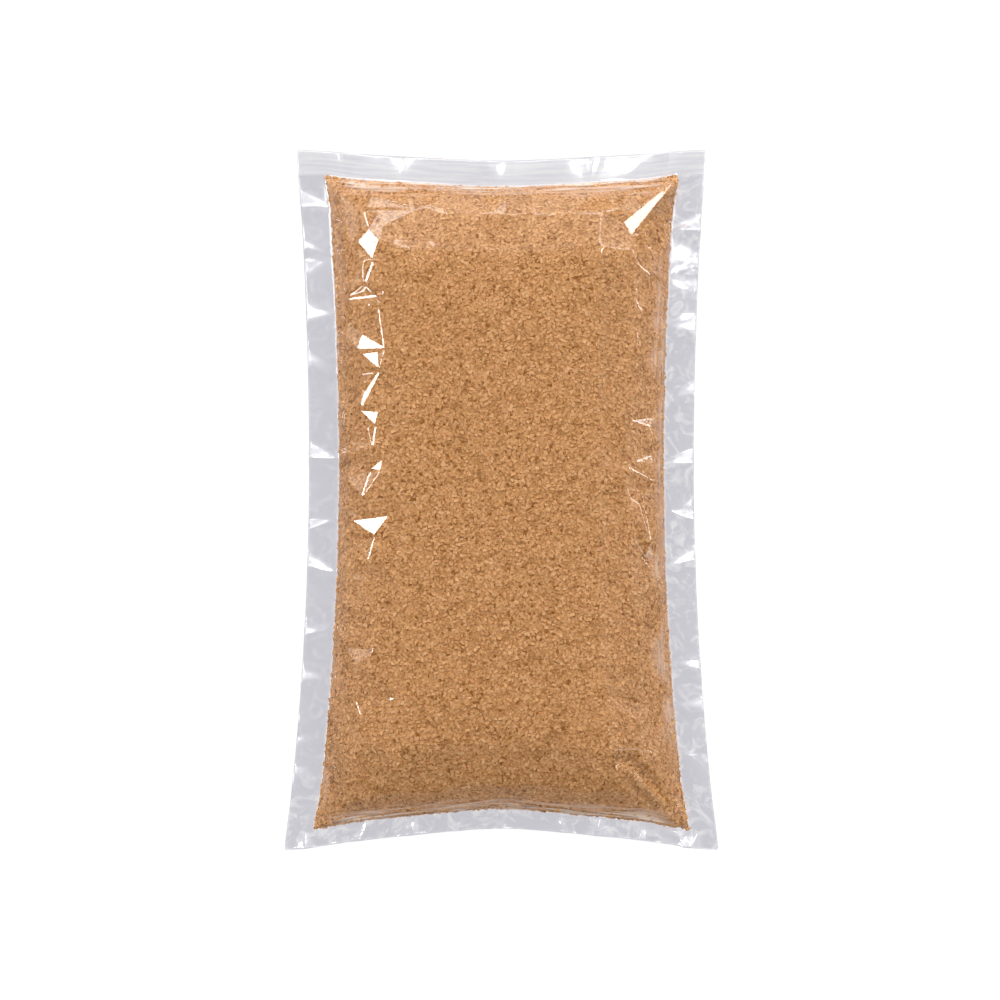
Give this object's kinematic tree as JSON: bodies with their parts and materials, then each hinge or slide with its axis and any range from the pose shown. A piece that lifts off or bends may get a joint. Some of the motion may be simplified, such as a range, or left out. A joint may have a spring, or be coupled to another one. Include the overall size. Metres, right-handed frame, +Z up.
{
  "type": "bag of breadcrumbs",
  "caption": "Clear plastic pouch sealed along all four sides, filled with fine golden breadcrumbs, lying flat on its back.",
  "frame": {"origin": "middle of the footprint, on the surface that the pouch lies on", "axes": "+Y from the foot to the head of the pouch, +Z up through its thickness, +X across it"},
  "size_m": [0.216, 0.349, 0.0477],
  "materials": {
    "breadcrumbs": "fine dry crumbs, light tan with darker brown grains",
    "film": "clear glossy film, cloudy where the two sheets are welded"
  },
  "bodies": {
    "root": {"bag": "breadcrumbs"}
  },
  "joints": []
}
